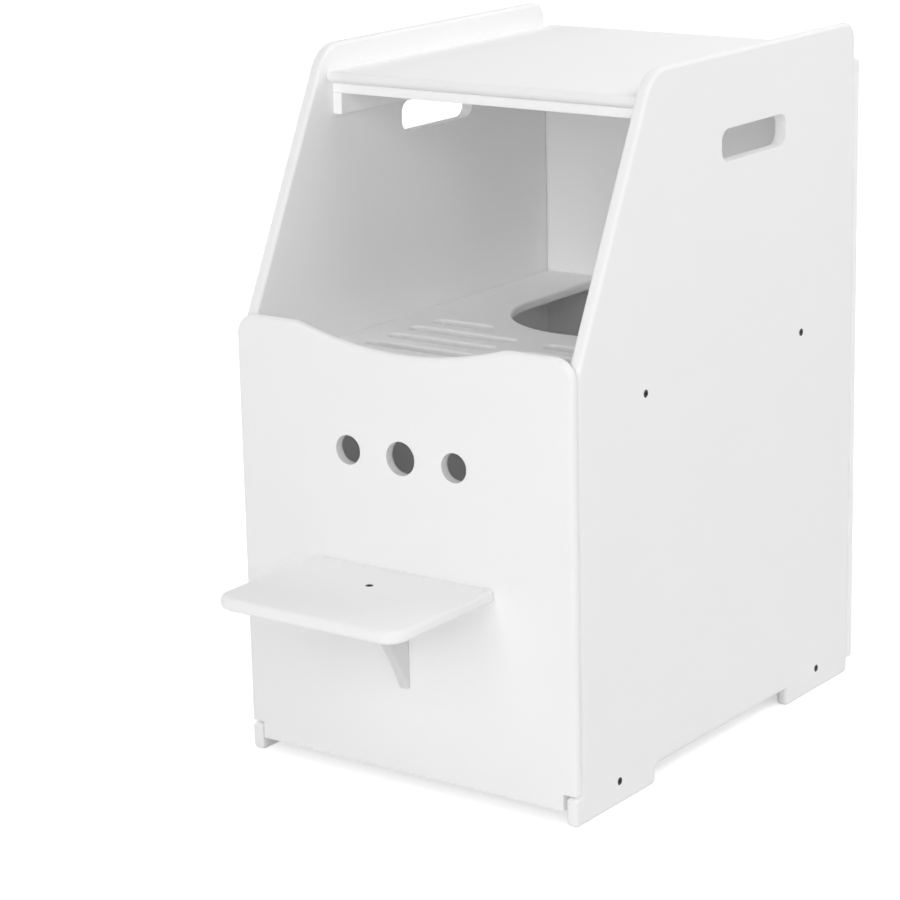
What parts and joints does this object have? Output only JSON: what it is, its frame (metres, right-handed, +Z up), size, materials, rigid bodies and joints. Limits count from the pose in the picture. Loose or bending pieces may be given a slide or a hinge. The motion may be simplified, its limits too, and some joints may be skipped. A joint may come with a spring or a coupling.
{
  "type": "drawer litter box",
  "caption": "White board cabinet for a cat: leaning open front, slotted platform with a drop opening, hand slots, and a pull-out drawer with step, vents and litter tray.",
  "frame": {"origin": "on the floor, under the middle of the whole object (step included)", "axes": "+X to the right seen from the front, +Y to the back, +Z up; the drawer opens towards -Y"},
  "size_m": [0.46, 0.808, 0.815],
  "materials": {
    "white_board": "satin white paint on wood board",
    "plain_board": "matt white foil on wood board",
    "dark_bolt": "blackened",
    "zinc_screw": "zinc plated",
    "rail_steel": "zinc plated",
    "ball_steel": "bright",
    "tray_plastic": "satin"
  },
  "bodies": {
    "cabinet": {"left_side_panel": "white_board", "right_side_panel": "white_board", "back_panel": "white_board", "bottom_board": "white_board", "platform_board": "white_board", "top_board": "white_board", "ceiling_panel": "white_board", "left_cleat": "white_board", "right_cleat": "white_board", "carcass_bolts": "dark_bolt", "back_panel_screws": "zinc_screw", "cleat_screws": "zinc_screw", "top_board_screws": "zinc_screw", "left_cabinet_rail": "rail_steel", "right_cabinet_rail": "rail_steel", "cabinet_rail_screws": "zinc_screw"},
    "slide_middles": {"left_middle_rail": "rail_steel", "right_middle_rail": "rail_steel"},
    "outer_cages": {"outer_ball_cages": "ball_steel"},
    "inner_cages": {"inner_ball_cages": "ball_steel"},
    "drawer": {"drawer_front": "white_board", "step_board": "white_board", "step_bracket": "white_board", "step_bolt": "dark_bolt", "step_fixing_bolts": "zinc_screw", "drawer_left_side": "plain_board", "drawer_right_side": "plain_board", "drawer_inner_front": "plain_board", "drawer_back": "plain_board", "drawer_bottom": "plain_board", "drawer_front_screws": "zinc_screw", "drawer_corner_screws": "zinc_screw", "left_drawer_rail": "rail_steel", "right_drawer_rail": "rail_steel", "drawer_rail_screws": "zinc_screw"},
    "litter_tray": {"litter_tray": "tray_plastic"}
  },
  "joints": [
    {"name": "drawer_slide", "type": "slide", "parent": "cabinet", "child": "drawer", "axis": [0, -1, 0], "range_m": [0, 0.5]},
    {"name": "middle_rail_slide", "type": "slide", "parent": "cabinet", "child": "slide_middles", "axis": [0, -1, 0], "range_m": [0, 0.25]},
    {"name": "outer_cage_roll", "type": "slide", "parent": "cabinet", "child": "outer_cages", "axis": [0, -1, 0], "range_m": [0, 0.125]},
    {"name": "inner_cage_roll", "type": "slide", "parent": "cabinet", "child": "inner_cages", "axis": [0, -1, 0], "range_m": [0, 0.375]},
    {"name": "tray_lift", "type": "slide", "parent": "drawer", "child": "litter_tray", "axis": [0, 0, 1], "range_m": [0, 0.2]}
  ],
  "couplings": [
    {"joint": "middle_rail_slide", "follows": "drawer_slide", "ratio": 0.5},
    {"joint": "outer_cage_roll", "follows": "drawer_slide", "ratio": 0.25},
    {"joint": "inner_cage_roll", "follows": "drawer_slide", "ratio": 0.75}
  ]
}
